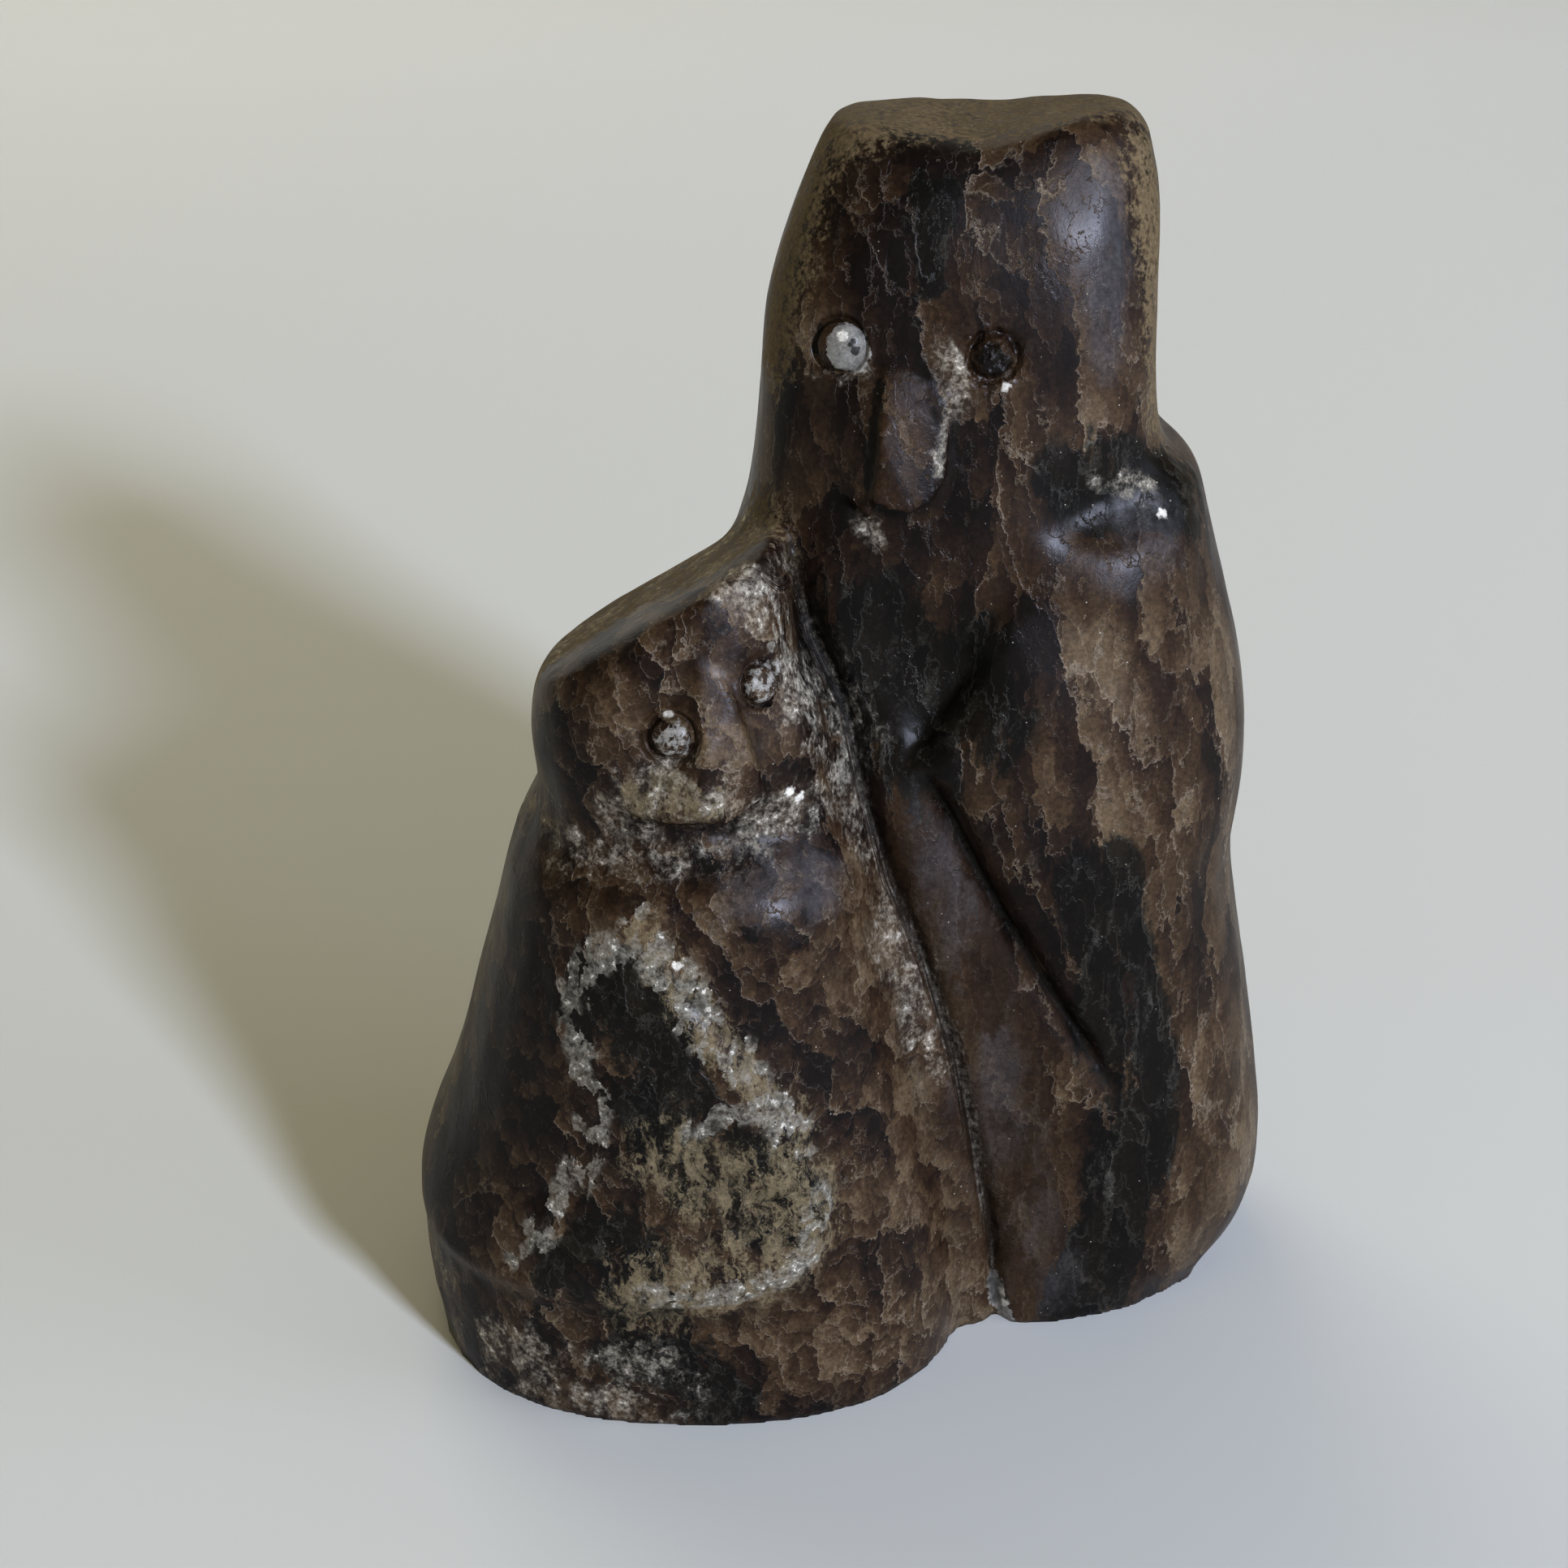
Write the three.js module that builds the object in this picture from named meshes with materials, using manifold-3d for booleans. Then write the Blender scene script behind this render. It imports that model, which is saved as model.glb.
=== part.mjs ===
// Two birds carved side by side out of one block of dark soapstone: a tall adult with a
// flat-topped head and a folded wing, and a young bird that leans against its front.
// Millimetres, +Z up. The birds face -Y, and the origin is under the middle of the flat base.
// The eyes, beaks, wings and grooves are all cut into the one stone, so there is one solid.

import * as THREE from 'three';
import { ConvexGeometry } from 'three/addons/geometries/ConvexGeometry.js';
import { mergeVertices } from 'three/addons/utils/BufferGeometryUtils.js';
import Module from 'manifold-3d';

const height = 200; // the stone's overall height
const hundredth = height / 100; // every proportion of the free form is given in these

const adultEyeDiameter = 8.4; // over the drilled ring
const youngEyeDiameter = 7.4;
const eyeRingWidth = 1.1; // drilled ring around each domed eye
const eyeRingDepth = 1.2;
const eyeDomeRise = 0.7; // top of the dome above the face
const eyeDrillTaper = 0.3; // how much narrower the drilled ring is at its bottom

const adultBeakRise = 4.6; // how proud of the face a beak's tip stands
const youngBeakRise = 4.4;
const beakRoot = 5; // how deep a beak's block reaches into the head
const beakSlitWidth = 1.6; // slit down the left side of the adult's beak
const beakSlitDepth = 3.4;

const birdGrooveWidth = 9; // valley between the two birds
const birdGrooveDepth = 3.6;
const wingGrooveWidth = 9; // V cut along the adult's folded wing
const wingGrooveDepth = 4.4;
const neckFurrowWidth = 17; // soft furrow under the young bird's head
const neckFurrowDepth = 2.6;
const adultWingRise = 2.2; // the adult's wing stands this proud of chest and belly
const adultWingEdge = 3.4; // width of the slope at a wing's rim
const youngWingRise = 1.8;
const youngWingEdge = 2;

const frontBlend = 3; // how softly the two masses meet in front, and behind
const backBlend = 16;
const headEdgeBlend = 3.6;
const roofEdgeBlend = 3;

const broadFacet = 9.5; // edge lengths of the facets
const edgeFacet = 3.6;
const grooveFacet = 2.8;
const faceFacet = 3;
const facetGrowth = 0.62; // how fast facets may grow away from fine carving
const roundSides = 24; // facets around an eye

// Sections of a mass: height, left, right, front, back and squareness of the corners.
const adultSections = [
  [-8, -10, 31, -9.5, 21.5, 2.4],
  [0, -11, 31.8, -9.6, 22.5, 2.4],
  [2, -11.2, 33.8, -9.8, 22.7, 2.4],
  [4.5, -11.5, 35.3, -10, 23, 2.4],
  [9, -12, 36.4, -10.2, 23.3, 2.4],
  [15, -12.5, 36, -10.5, 23.3, 2.4],
  [24, -13, 34.6, -10.4, 23, 2.4],
  [35, -13, 32.5, -10, 22.6, 2.5],
  [40.5, -13, 31.6, -9.8, 22.3, 2.5],
  [46, -12.8, 32.2, -9.4, 21.8, 2.6],
  [56, -12, 31.4, -8.2, 20.9, 2.7],
  [64, -9.8, 29.4, -6.8, 20, 2.8],
  [69, -8.3, 28, -5.9, 19.4, 2.9],
  [71.8, -7.8, 27.3, -5.4, 19, 2.9],
  [73.4, -7.6, 25.8, -5.1, 18.8, 3],
  [74.6, -7.5, 24, -4.9, 18.6, 3],
  [78, -7.2, 23.5, -4.4, 18.2, 3.1],
  [84, -6.8, 23.2, -3.6, 17.8, 3.2],
  [90, -5.4, 23.2, -2.2, 17.2, 3.2],
  [95, -3.4, 23.1, -0.4, 16.6, 3.1],
  [98, -2.2, 22.2, 1.4, 15.8, 3],
  [101, -0.6, 20.2, 2.6, 14.6, 3],
];
const youngSections = [
  [-8, -34, 9.5, -21.5, 16, 2.4],
  [0, -34.6, 10, -22.8, 18, 2.4],
  [4, -35.4, 10.2, -23, 19, 2.4],
  [7, -35.9, 10.2, -22.8, 19.4, 2.4],
  [15.5, -34.8, 9, -22.4, 19, 2.4],
  [22.5, -32.7, 7, -21.8, 18, 2.4],
  [31.5, -30.3, 4.6, -21.2, 16.5, 2.4],
  [39, -28.3, 2.6, -20.2, 14.8, 2.4],
  [45, -26.8, 1, -18.8, 13, 2.5],
  [48.5, -25.6, -0.2, -17, 11.5, 2.6],
  [52, -25.2, -1, -16.2, 10.2, 2.7],
  [56, -25, -1.6, -16.2, 9, 2.8],
  [61, -24.2, -2.6, -15.6, 7.6, 2.9],
  [66, -22, -4.2, -14, 6, 2.9],
  [72, -19, -6, -12.4, 4.4, 2.8],
];

// The adult's head is cut off almost flat, with a scoop that runs forward and left and deepens.
const headTop = { level: 99.8, tilt: 0.03, pitch: -0.06 };
const headScoop = { x: 8, lean: 0.26, halfWidth: 6, depthBehind: 0.5, depthInFront: 1.9 };
const scoopBehind = 15;
const scoopInFront = 2;
// The young bird's head is one sloping plane: a point on it, and its falls to the left and back.
const roof = { x: -12, y: -12.5, level: 68.4, fallLeft: 0.62, fallBack: 0.2 };

// Carved lines, seen from the front as pairs of X and Z.
const birdGrooveLine = [
  [-6.8, 70.5], [-4.6, 67], [-2.8, 61.5], [-0.6, 56.5], [1, 49.8], [3.2, 42.6], [6, 35.2], [8.3, 27],
  [10.4, 17.5], [12, 8.8], [13.2, -8],
];
const upperWingLine = [[10.6, 63], [8, 58], [5, 53.4]];
const lowerWingLine = [[5, 53.4], [7.4, 48.8], [12.4, 39.2], [18.4, 28.8], [23.4, 20.6]];
const adultWingLine = [
  [16, 70], [13.4, 66.4], [10.6, 63], [8, 58], [5.2, 53.2], [7.6, 48.8], [12.4, 39.2], [18.4, 28.8],
  [24, 19.6],
];
const youngWingLine = [
  [-17.8, 46], [-14.6, 41.6], [-10.6, 35.6], [-6, 30], [-2.8, 24], [-1.8, 19], [-3, 15], [-6.4, 12.8],
  [-11, 12], [-17, 11.8], [-23, 11.8], [-28.5, 11.6], [-33.5, 11.4], [-40, 11.4],
];
const neckFurrowLine = [[-30, 49.4], [-24, 49], [-18, 49.2], [-12.4, 49.2], [-7, 50.8], [-2.8, 51]];

// Dished hollows and swells, seen from the front: centre, half sizes, depth (a swell is negative).
const dishes = [
  { x: 4.2, z: 59.5, halfX: 8, halfZ: 9.5, depth: 2 }, // chest, between young head and wing
  { x: 19, z: 72, halfX: 6.6, halfZ: 3.8, depth: 2.4 }, // in front of the adult's shoulder
  { x: 22, z: 66, halfX: 7.5, halfZ: 7, depth: -1.1 }, // the shoulder itself
  { x: 21, z: 50, halfX: 14, halfZ: 19, depth: -1.2 }, // folded wing
  { x: 13, z: 22, halfX: 6, halfZ: 22, depth: 1.1 }, // belly between the birds
  { x: -3.6, z: 44, halfX: 8, halfZ: 6.5, depth: -1.2 }, // young bird's breast
  { x: -13.8, z: 59, halfX: 4.6, halfZ: 4.6, depth: 0.9 }, // its eye sockets
  { x: -5.8, z: 61.6, halfX: 4.4, halfZ: 5, depth: 1.3 },
];

const eyes = [
  { x: -1, z: 84.2, diameter: adultEyeDiameter },
  { x: 10.2, z: 83.7, diameter: adultEyeDiameter },
  { x: -13.6, z: 58.6, diameter: youngEyeDiameter },
  { x: -6.8, z: 61.9, diameter: youngEyeDiameter },
];

const shoulder = { x: 26, z: 72.6 }; // corner of the adult's shoulder

// Corners of the faceted beaks, seen from the front: X, Z and the share of the beak's rise.
const adultBeakFront = [
  [2.2, 82.8, 0.1],
  [6.9, 81.2, 0.1],
  [6.7, 75.3, 0.5],
  [5.7, 73.4, 0.7],
  [4.1, 72.7, 0.9],
  [1.3, 73.4, 1],
  [1.7, 78.5, 0.8],
];
const adultBeakSide = [
  [-2.4, 82.6, 0],
  [1.9, 82.2, 0.1],
  [-1.3, 77.3, 0.1],
  [-0.6, 73.2, 0.2],
  [1.1, 71.8, 0.5],
  [1.5, 74, 0.6],
  [1.7, 79, 0.4],
];
const adultBeakSlit = [[1.9, 82], [1.1, 78.6], [0.6, 73.8]];
const youngBeakFacets = [
  [-12, 65.2, 0],
  [-8.8, 61.4, 0.3],
  [-7.5, 56.9, 0.45],
  [-6.7, 53.5, 0.4],
  [-9.5, 51.9, 0.9],
  [-11.3, 53.2, 1],
  [-11.1, 57.4, 0.8],
  [-13.4, 56.3, 0.1],
  [-17.5, 52.5, 0],
  [-14.7, 51.8, 0.4],
];

const clamp = (value, low, high) => Math.min(high, Math.max(low, value));
const smoothStep = (value) => value * value * (3 - 2 * value);

// The nearer of two distances, and the farther, with a blend where they are alike.
function smoothMin(a, b, blend) {
  const near = clamp(0.5 + (b - a) / (2 * blend), 0, 1);
  return b + (a - b) * near - blend * near * (1 - near);
}
const smoothMax = (a, b, blend) => -smoothMin(-a, -b, blend);

// A mass is a stack of rounded sections, joined smoothly between their heights.
function massOf(sections) {
  const heights = sections.map((row) => row[0]);
  const sizes = sections.flatMap((row) => row.slice(1));
  const stack = new THREE.CubicInterpolant(heights, sizes, 5, new Float32Array(5));
  return (p) => {
    const [left, right, front, back, squareness] = stack.evaluate(p.z / hundredth);
    const x = p.x / hundredth - (left + right) / 2;
    const y = p.y / hundredth - (front + back) / 2;
    const overX = Math.abs(x) / ((right - left) / 2);
    const overY = Math.abs(y) / ((back - front) / 2);
    const ratio = (overX ** squareness + overY ** squareness) ** (1 / squareness);
    return hundredth * Math.hypot(x, y) * (1 - 1 / Math.max(ratio, 0.02));
  };
}
const adultMass = massOf(adultSections);
const youngMass = massOf(youngSections);

function aboveHeadTop(p) {
  const x = p.x / hundredth;
  const y = p.y / hundredth;
  const across = (x - headScoop.x - headScoop.lean * (y - scoopInFront)) / headScoop.halfWidth;
  const forward = clamp((scoopBehind - y) / (scoopBehind - scoopInFront), 0, 1);
  const depth = headScoop.depthBehind + (headScoop.depthInFront - headScoop.depthBehind) * forward;
  const scoop = depth * Math.exp(-across * across);
  return p.z - (headTop.level + headTop.tilt * x + headTop.pitch * y - scoop) * hundredth;
}

function aboveRoof(p) {
  const x = p.x / hundredth - roof.x;
  const y = p.y / hundredth - roof.y;
  const level = roof.level + roof.fallLeft * x - roof.fallBack * y;
  return (p.z - level * hundredth) / Math.hypot(1, roof.fallLeft, roof.fallBack);
}

// A carved line on the front: how far a point is from it, which is less than zero on its right
// as the line runs, and how far along the line it lies, from 0 to 1.
function lineOf(pairs) {
  const ends = pairs.map(([x, z]) => new THREE.Vector2(x, z).multiplyScalar(hundredth));
  const points = new THREE.SplineCurve(ends).getSpacedPoints(8 * pairs.length);
  const offset = new THREE.Vector2();
  const step = new THREE.Vector2();
  return (x, z) => {
    let distance = Infinity;
    let along = 0;
    for (let i = 1; i < points.length; i++) {
      step.subVectors(points[i], points[i - 1]);
      const share = clamp(offset.set(x, z).sub(points[i - 1]).dot(step) / step.lengthSq(), 0, 1);
      offset.addScaledVector(step, -share);
      if (offset.length() < Math.abs(distance)) {
        distance = offset.length() * (step.cross(offset) < 0 ? -1 : 1);
        along = (i - 1 + share) / (points.length - 1);
      }
    }
    return { distance, along };
  };
}

function fade(along, fadeIn, fadeOut) {
  const start = fadeIn ? clamp(along / fadeIn, 0, 1) : 1;
  const end = fadeOut ? clamp((1 - along) / fadeOut, 0, 1) : 1;
  return smoothStep(start) * smoothStep(end);
}

// Grooves are cut to a V, and fade over a share of their length at both ends.
const birdGroove = {
  line: lineOf(birdGrooveLine),
  width: birdGrooveWidth,
  depth: birdGrooveDepth,
  fadeIn: 0.12,
  fadeOut: 0,
};
const upperWingGroove = {
  line: lineOf(upperWingLine),
  width: wingGrooveWidth,
  depth: 0.6 * wingGrooveDepth,
  fadeIn: 0.5,
  fadeOut: 0.1,
};
const lowerWingGroove = {
  line: lineOf(lowerWingLine),
  width: wingGrooveWidth,
  depth: wingGrooveDepth,
  fadeIn: 0.15,
  fadeOut: 0.3,
};
const grooves = [birdGroove, upperWingGroove, lowerWingGroove];

function grooveDepthAt(groove, x, z) {
  const { distance, along } = groove.line(x, z);
  const away = Math.min(Math.abs(distance) / (groove.width / 2), 1);
  return groove.depth * (1 - away) ** 2 * fade(along, groove.fadeIn, groove.fadeOut);
}

// The furrow under the young bird's head is rounded, with no line at its bottom.
const neckFurrow = {
  line: lineOf(neckFurrowLine),
  width: neckFurrowWidth,
  depth: neckFurrowDepth,
  fadeIn: 0.1,
  fadeOut: 0.2,
};

function furrowDepthAt(furrow, x, z) {
  const { distance, along } = furrow.line(x, z);
  const away = Math.min(Math.abs(distance) / (furrow.width / 2), 1);
  return furrow.depth * (1 - away * away) ** 2 * fade(along, furrow.fadeIn, furrow.fadeOut);
}

// A wing stands proud on one side of its rim, and sinks back into the body over its spread.
const adultWing = {
  rim: lineOf(adultWingLine),
  inner: 1,
  rise: adultWingRise,
  edge: adultWingEdge,
  spread: 34,
  fadeIn: 0.2,
  fadeOut: 0.3,
};
const youngWing = {
  rim: lineOf(youngWingLine),
  inner: -1,
  rise: youngWingRise,
  edge: youngWingEdge,
  spread: 24,
  fadeIn: 0.3,
  fadeOut: 0,
};
const wings = [adultWing, youngWing];

function wingRiseAt(wing, x, z) {
  const { distance, along } = wing.rim(x, z);
  const inside = clamp(0.5 + (wing.inner * distance) / wing.edge, 0, 1);
  const near = clamp(1 - Math.abs(distance) / wing.spread, 0, 1);
  return wing.rise * smoothStep(inside) * smoothStep(near) * fade(along, wing.fadeIn, wing.fadeOut);
}

function dishDepthAt(dish, x, z) {
  const over = Math.hypot((x / hundredth - dish.x) / dish.halfX, (z / hundredth - dish.z) / dish.halfZ);
  return over < 1 ? dish.depth * hundredth * (1 - over * over) ** 2 : 0;
}

// How much deeper than the two masses the carved front lies at a place seen from the front.
function carvingAt(x, z) {
  let depth = furrowDepthAt(neckFurrow, x, z);
  for (const groove of grooves) depth += grooveDepthAt(groove, x, z);
  for (const wing of wings) depth -= wingRiseAt(wing, x, z);
  for (const dish of dishes) depth += dishDepthAt(dish, x, z);
  return depth;
}

// The carving on the front fades out between two depths, and the masses blend behind two others.
const frontEnds = 2;
const frontGone = 11;
const backBegins = 7;
const backFull = 18;
const backTop = 62; // the soft blend behind ends below the young bird's head
const shareBetween = (value, from, to) => smoothStep(clamp((value - from) / (to - from), 0, 1));

// Signed distance to the stone's surface, near enough to walk down: negative inside.
function stoneAt(p) {
  const y = p.y / hundredth;
  const z = p.z / hundredth;
  const adult = smoothMax(adultMass(p), aboveHeadTop(p), headEdgeBlend);
  const young = smoothMax(youngMass(p), aboveRoof(p), roofEdgeBlend);
  const behind = shareBetween(y, backBegins, backFull) * shareBetween(z, backTop, backTop / 2);
  const masses = smoothMin(adult, young, frontBlend + (backBlend - frontBlend) * behind);
  const front = 1 - shareBetween(y, frontEnds, frontGone);
  return masses + (front > 0 ? front * carvingAt(p.x, p.z) : 0);
}

// Creases that facets follow: zero on the crease, and nothing far from it. Points slide to a
// carved line as it is seen from the front, and to an edge of the head any way.
const lineEnd = 0.01; // share of a line left out at its ends
const inFront = (p) => p.y / hundredth < frontGone;
const besideLine = (line, from) => (p) => {
  const { distance, along } = line(p.x, p.z);
  return inFront(p) && along > from && along < 1 - lineEnd ? distance : NaN;
};
const creases = [
  ...grooves.map(({ line }) => ({ level: besideLine(line, lineEnd), slideOn: ['y'] })),
  { level: besideLine(youngWing.rim, youngWing.fadeIn), slideOn: ['y'] },
  { level: (p) => aboveHeadTop(p) - adultMass(p), slideOn: ['x', 'y', 'z'] },
  {
    level: (p) => (Math.max(youngMass(p), aboveRoof(p)) < 1 ? aboveRoof(p) - youngMass(p) : NaN),
    slideOn: ['x', 'y', 'z'],
  },
];

// Longest edge that a facet may have at a place: short on fine carving, long on plain faces.
function facetAt(p) {
  let longest = broadFacet;
  const near = (distance, facet) => {
    longest = Math.min(longest, facet + Math.max(distance, 0) * facetGrowth);
  };
  near(Math.abs(aboveHeadTop(p)), edgeFacet);
  if (youngMass(p) < adultMass(p)) near(Math.abs(aboveRoof(p)), edgeFacet);
  if (!inFront(p)) return longest;
  for (const { line, width } of grooves) {
    near(Math.abs(line(p.x, p.z).distance) - width / 3, grooveFacet);
  }
  for (const { rim, edge } of wings) {
    near(Math.abs(rim(p.x, p.z).distance) - edge / 2, grooveFacet);
  }
  for (const place of [...eyes, shoulder]) {
    near(Math.hypot(p.x - place.x * hundredth, p.z - place.z * hundredth) - hundredth, faceFacet);
  }
  return longest;
}

const probeReach = 0.05; // step over which a slope is measured
const onStone = 0.01; // a point this near to the stone's surface lies on it
const settleSteps = 6;
const leastSlope = 0.2; // keeps a step short where the distance hardly changes

// Moves a point down the slope of the distance until it lies on the stone. Along Y alone, it
// stays where it is seen from the front.
function settle(p, axes = ['x', 'y', 'z']) {
  const probe = new THREE.Vector3();
  const slope = new THREE.Vector3();
  for (let step = 0; step < settleSteps; step++) {
    const distance = stoneAt(p);
    if (Math.abs(distance) < onStone) break;
    for (const axis of axes) {
      probe.copy(p)[axis] += probeReach;
      slope[axis] = (stoneAt(probe) - distance) / probeReach;
    }
    p.addScaledVector(slope, -distance / Math.max(slope.lengthSq(), leastSlope));
  }
  return p;
}

const ballDetail = 8; // how often each edge of the ball's first facets is divided
const halvings = 12; // steps that close in on the surface

// The rough block: a ball whose points are drawn in from outside until they meet the stone.
function roughBlock() {
  const ball = new THREE.IcosahedronGeometry(1, ballDetail);
  ball.deleteAttribute('normal');
  ball.deleteAttribute('uv');
  const welded = mergeVertices(ball);
  const middle = new THREE.Vector3(2, 0, 42).multiplyScalar(hundredth);
  const position = welded.getAttribute('position');
  const points = [];
  for (let i = 0; i < position.count; i++) {
    const out = new THREE.Vector3().fromBufferAttribute(position, i).normalize();
    let near = 0;
    let far = height;
    for (let reach = height; reach > 0; reach -= hundredth) {
      if (stoneAt(new THREE.Vector3().copy(middle).addScaledVector(out, reach)) < 0) {
        near = reach;
        far = reach + hundredth;
        break;
      }
    }
    for (let step = 0; step < halvings; step++) {
      const half = (near + far) / 2;
      if (stoneAt(new THREE.Vector3().copy(middle).addScaledVector(out, half)) < 0) near = half;
      else far = half;
    }
    points.push(new THREE.Vector3().copy(middle).addScaledVector(out, far));
  }
  return { points, faces: Array.from(welded.index.array) };
}

// Cuts edges where a rule puts a point on them, and splits the facets on both sides to match.
function cutEdges({ points, faces }, pointOn) {
  const cuts = new Map();
  const cutOf = (a, b) => {
    const key = a < b ? `${a},${b}` : `${b},${a}`;
    if (!cuts.has(key)) {
      const point = pointOn(a, b);
      cuts.set(key, point ? points.push(point) - 1 : -1);
    }
    return cuts.get(key);
  };
  const split = [];
  for (let i = 0; i < faces.length; i += 3) {
    let corners = [faces[i], faces[i + 1], faces[i + 2]];
    let mids = corners.map((corner, n) => cutOf(corner, corners[(n + 1) % 3]));
    const count = mids.filter((mid) => mid >= 0).length;
    // Turn a facet with one or two cuts until they are on its first edges.
    while ((count === 1 || count === 2) && !(mids[0] >= 0 && mids[2] < 0)) {
      corners = [corners[1], corners[2], corners[0]];
      mids = [mids[1], mids[2], mids[0]];
    }
    const [a, b, c] = corners;
    const [ab, bc, ca] = mids;
    if (count === 0) split.push(a, b, c);
    if (count === 1) split.push(a, ab, c, ab, b, c);
    if (count === 2) {
      split.push(ab, b, bc);
      const cornerA = points[a].distanceTo(points[bc]) < points[c].distanceTo(points[ab]);
      split.push(...(cornerA ? [a, ab, bc, a, bc, c] : [a, ab, c, ab, bc, c]));
    }
    if (count === 3) split.push(a, ab, ca, ab, b, bc, ca, bc, c, ab, bc, ca);
  }
  return { points, faces: split };
}

const longEnough = 1.35; // an edge is halved when it is this many times its facets' length
const nearCrease = 0.33; // and a point moves to a crease from this share of it
const besideCut = 0.02; // share of an edge too near its end to cut
const slideSteps = 4;
const refinings = 7;

function halveLongEdges(mesh) {
  return cutEdges(mesh, (a, b) => {
    const middle = new THREE.Vector3().addVectors(mesh.points[a], mesh.points[b]).multiplyScalar(0.5);
    const length = mesh.points[a].distanceTo(mesh.points[b]);
    return length > longEnough * facetAt(middle) ? settle(middle) : null;
  });
}

// Evens out the facets by easing each point towards the middle of its neighbours.
function easePoints({ points, faces }) {
  const sums = points.map(() => new THREE.Vector3());
  const counts = points.map(() => 0);
  for (let i = 0; i < faces.length; i++) {
    const next = i % 3 === 2 ? i - 2 : i + 1;
    sums[faces[i]].add(points[faces[next]]);
    counts[faces[i]]++;
  }
  points.forEach((point, i) => settle(point.lerp(sums[i].divideScalar(counts[i]), 0.5)));
  return { points, faces };
}

// Moves points that lie near a crease onto it, and cuts the edges that cross it. Points that
// already lie on another crease stay.
function followCrease(mesh, { level, slideOn }, held) {
  const probe = new THREE.Vector3();
  const slope = new THREE.Vector3();
  const slide = (p) => {
    for (let step = 0; step < slideSteps; step++) {
      const here = level(p);
      for (const axis of ['x', 'y', 'z']) {
        probe.copy(p)[axis] += probeReach;
        slope[axis] = (level(probe) - here) / probeReach;
      }
      if (!(slope.length() > probeReach)) return null; // off the end of a carved line
      settle(p.addScaledVector(slope, -here / slope.lengthSq()), slideOn);
    }
    return p;
  };
  mesh.points.forEach((point, i) => {
    const facet = facetAt(point);
    if (held.has(i) || !(Math.abs(level(point)) < nearCrease * facet)) return;
    const moved = slide(point.clone());
    if (moved && moved.distanceTo(point) < facet) {
      point.copy(moved);
      held.add(i);
    }
  });
  return cutEdges(mesh, (a, b) => {
    const from = level(mesh.points[a]);
    const to = level(mesh.points[b]);
    const length = mesh.points[a].distanceTo(mesh.points[b]);
    const crosses = from * to < 0 && Math.abs(from - to) < 2 * length;
    if (!crosses || Math.min(Math.abs(from), Math.abs(to)) < besideCut * length) return null;
    const crossing = new THREE.Vector3().lerpVectors(mesh.points[a], mesh.points[b], from / (from - to));
    const moved = slide(crossing.clone());
    if (!moved || moved.distanceTo(crossing) > length) return null;
    held.add(mesh.points.length);
    return moved;
  });
}

function carvedMesh() {
  let mesh = roughBlock();
  for (let round = 0; round < refinings; round++) mesh = easePoints(halveLongEdges(mesh));
  mesh = easePoints(mesh);
  const held = new Set();
  for (const crease of creases) mesh = followCrease(mesh, crease, held);
  return mesh;
}

const wasm = await Module();
wasm.setup();

const solidFrom = (vertProperties, triVerts) =>
  new wasm.Manifold(new wasm.Mesh({ numProp: 3, vertProperties, triVerts }));

function solidOfGeometry(geometry) {
  const bare = geometry.clone();
  bare.deleteAttribute('normal');
  bare.deleteAttribute('uv');
  const welded = mergeVertices(bare);
  return solidFrom(welded.getAttribute('position').array, new Uint32Array(welded.index.array));
}

// The stone runs on below the ground while it is carved, and is then sawn off flat at the ground.
function sawnBlock({ points, faces }) {
  const places = new Float32Array(points.flatMap((p) => [p.x, p.y, p.z]));
  const carved = solidFrom(places, new Uint32Array(faces));
  const ground = new THREE.BoxGeometry(2 * height, 2 * height, height);
  ground.translate(0, 0, -height / 2);
  return carved.subtract(solidOfGeometry(ground));
}

// The place on the face that is seen at X and Z from the front, given in hundredths.
function faceAt(x, z) {
  const p = new THREE.Vector3(x * hundredth, -height / 2, z * hundredth);
  while (stoneAt(p) > 0) p.y += hundredth / 2;
  return settle(p, ['y']);
}

function outwardAt(place) {
  const reach = hundredth;
  const outward = new THREE.Vector3();
  const probe = new THREE.Vector3();
  for (const axis of ['x', 'y', 'z']) {
    probe.copy(place)[axis] += reach;
    const ahead = stoneAt(probe);
    probe[axis] -= 2 * reach;
    outward[axis] = ahead - stoneAt(probe);
  }
  return outward.normalize();
}

// A faceted block: each corner stands out of the face by a share of the rise, and its root is
// inside the head.
function beakBlock(corners, rise) {
  const points = corners.flatMap(([x, z, share]) => {
    const face = faceAt(x, z);
    return [-share * rise, beakRoot].map((depth) => face.clone().setY(face.y + depth));
  });
  return solidOfGeometry(new ConvexGeometry(points));
}

// A narrow wedge for each length of the slit, open towards the front.
function beakSlitParts() {
  return adultBeakSlit.slice(1).map((end, n) => {
    const points = [adultBeakSlit[n], end].flatMap(([x, z]) => {
      const face = faceAt(x, z);
      const left = face.clone().add(new THREE.Vector3(-beakSlitWidth / 2, -2 * adultBeakRise, 0));
      const right = left.clone().setX(face.x + beakSlitWidth / 2);
      return [left, right, face.clone().setY(face.y + beakSlitDepth - adultBeakRise / 2)];
    });
    return solidOfGeometry(new ConvexGeometry(points));
  });
}

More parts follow.
